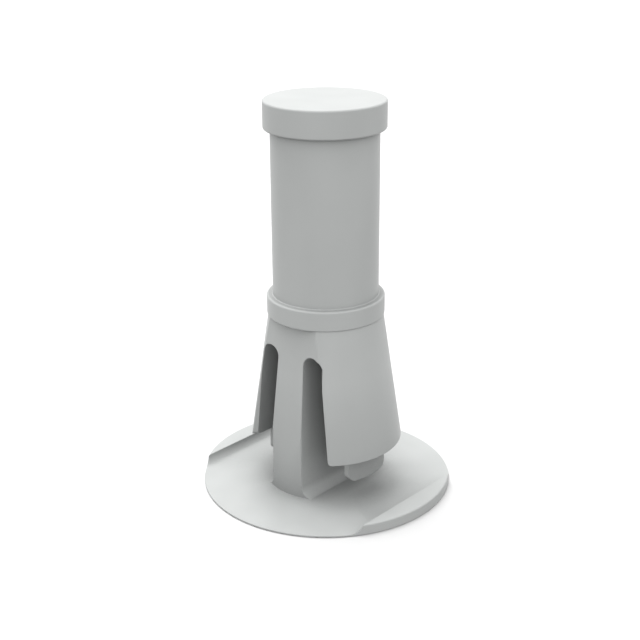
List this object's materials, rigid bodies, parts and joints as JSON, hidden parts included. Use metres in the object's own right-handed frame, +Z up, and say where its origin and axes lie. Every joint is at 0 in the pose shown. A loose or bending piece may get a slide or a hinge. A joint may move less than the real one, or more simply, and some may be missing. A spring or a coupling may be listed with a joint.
{
  "type": "pcb standoff",
  "caption": "Moulded snap-in support post for a circuit board: flanged foot, sprung fingers that lock in a round panel hole, and a plain shaft with a flat cap.",
  "frame": {"origin": "on the post's own axis, at the underside of the flange", "axes": "+Z runs up the post to the cap, X runs through the sprung fingers and Y through the fixed legs"},
  "size_m": [0.0126, 0.0126, 0.0197],
  "materials": {
    "natural_nylon": "semi-gloss grey-white moulded nylon"
  },
  "bodies": {
    "root": {"support_post": "natural_nylon"}
  },
  "joints": []
}
